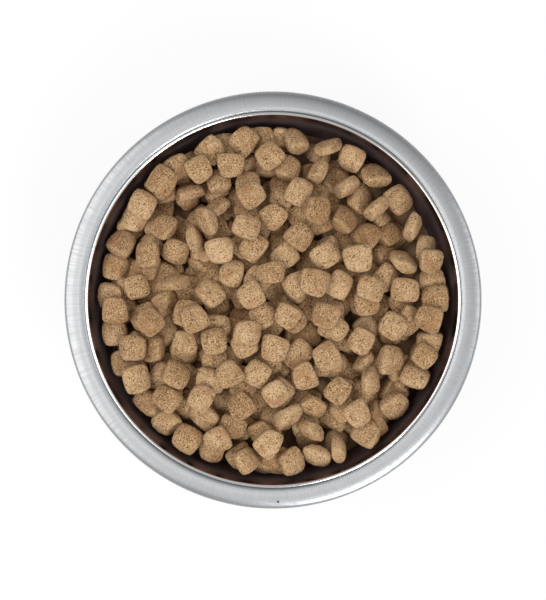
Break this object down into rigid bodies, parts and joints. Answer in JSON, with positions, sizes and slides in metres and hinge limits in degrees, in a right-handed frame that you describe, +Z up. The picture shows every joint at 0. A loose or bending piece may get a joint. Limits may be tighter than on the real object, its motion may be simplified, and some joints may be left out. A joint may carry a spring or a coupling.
{
  "type": "steel bowl of dry pet food",
  "caption": "Round pressed steel feeding bowl with a wide curled rim, filled with a heap of loose pillow-shaped dry kibble.",
  "frame": {"origin": "under the middle of the bowl's flat base, on the surface it stands on", "axes": "+Z up, along the bowl's axis; +X to the right and +Y to the top of the picture, which looks straight down"},
  "size_m": [0.165, 0.165, 0.0573],
  "materials": {
    "steel": "satin",
    "kibble": "matte"
  },
  "bodies": {
    "root": {"bowl": "steel", "kibble_bed": "kibble", "kibble_01": "kibble", "kibble_02": "kibble", "kibble_03": "kibble", "kibble_04": "kibble", "kibble_05": "kibble", "kibble_06": "kibble", "kibble_07": "kibble", "kibble_08": "kibble", "kibble_09": "kibble", "kibble_10": "kibble", "kibble_11": "kibble", "kibble_12": "kibble", "kibble_13": "kibble", "kibble_14": "kibble", "kibble_15": "kibble", "kibble_16": "kibble", "kibble_17": "kibble", "kibble_18": "kibble", "kibble_19": "kibble", "kibble_20": "kibble", "kibble_21": "kibble", "kibble_22": "kibble", "kibble_23": "kibble", "kibble_24": "kibble", "kibble_25": "kibble", "kibble_26": "kibble", "kibble_27": "kibble", "kibble_28": "kibble", "kibble_29": "kibble", "kibble_30": "kibble", "kibble_31": "kibble", "kibble_32": "kibble", "kibble_33": "kibble", "kibble_34": "kibble", "kibble_35": "kibble", "kibble_36": "kibble", "kibble_37": "kibble", "kibble_38": "kibble", "kibble_39": "kibble", "kibble_40": "kibble", "kibble_41": "kibble", "kibble_42": "kibble", "kibble_43": "kibble", "kibble_44": "kibble", "kibble_45": "kibble", "kibble_46": "kibble", "kibble_47": "kibble", "kibble_48": "kibble", "kibble_49": "kibble", "kibble_50": "kibble", "kibble_51": "kibble", "kibble_52": "kibble", "kibble_53": "kibble", "kibble_54": "kibble", "kibble_55": "kibble", "kibble_56": "kibble", "kibble_57": "kibble", "kibble_58": "kibble"}
  },
  "joints": []
}
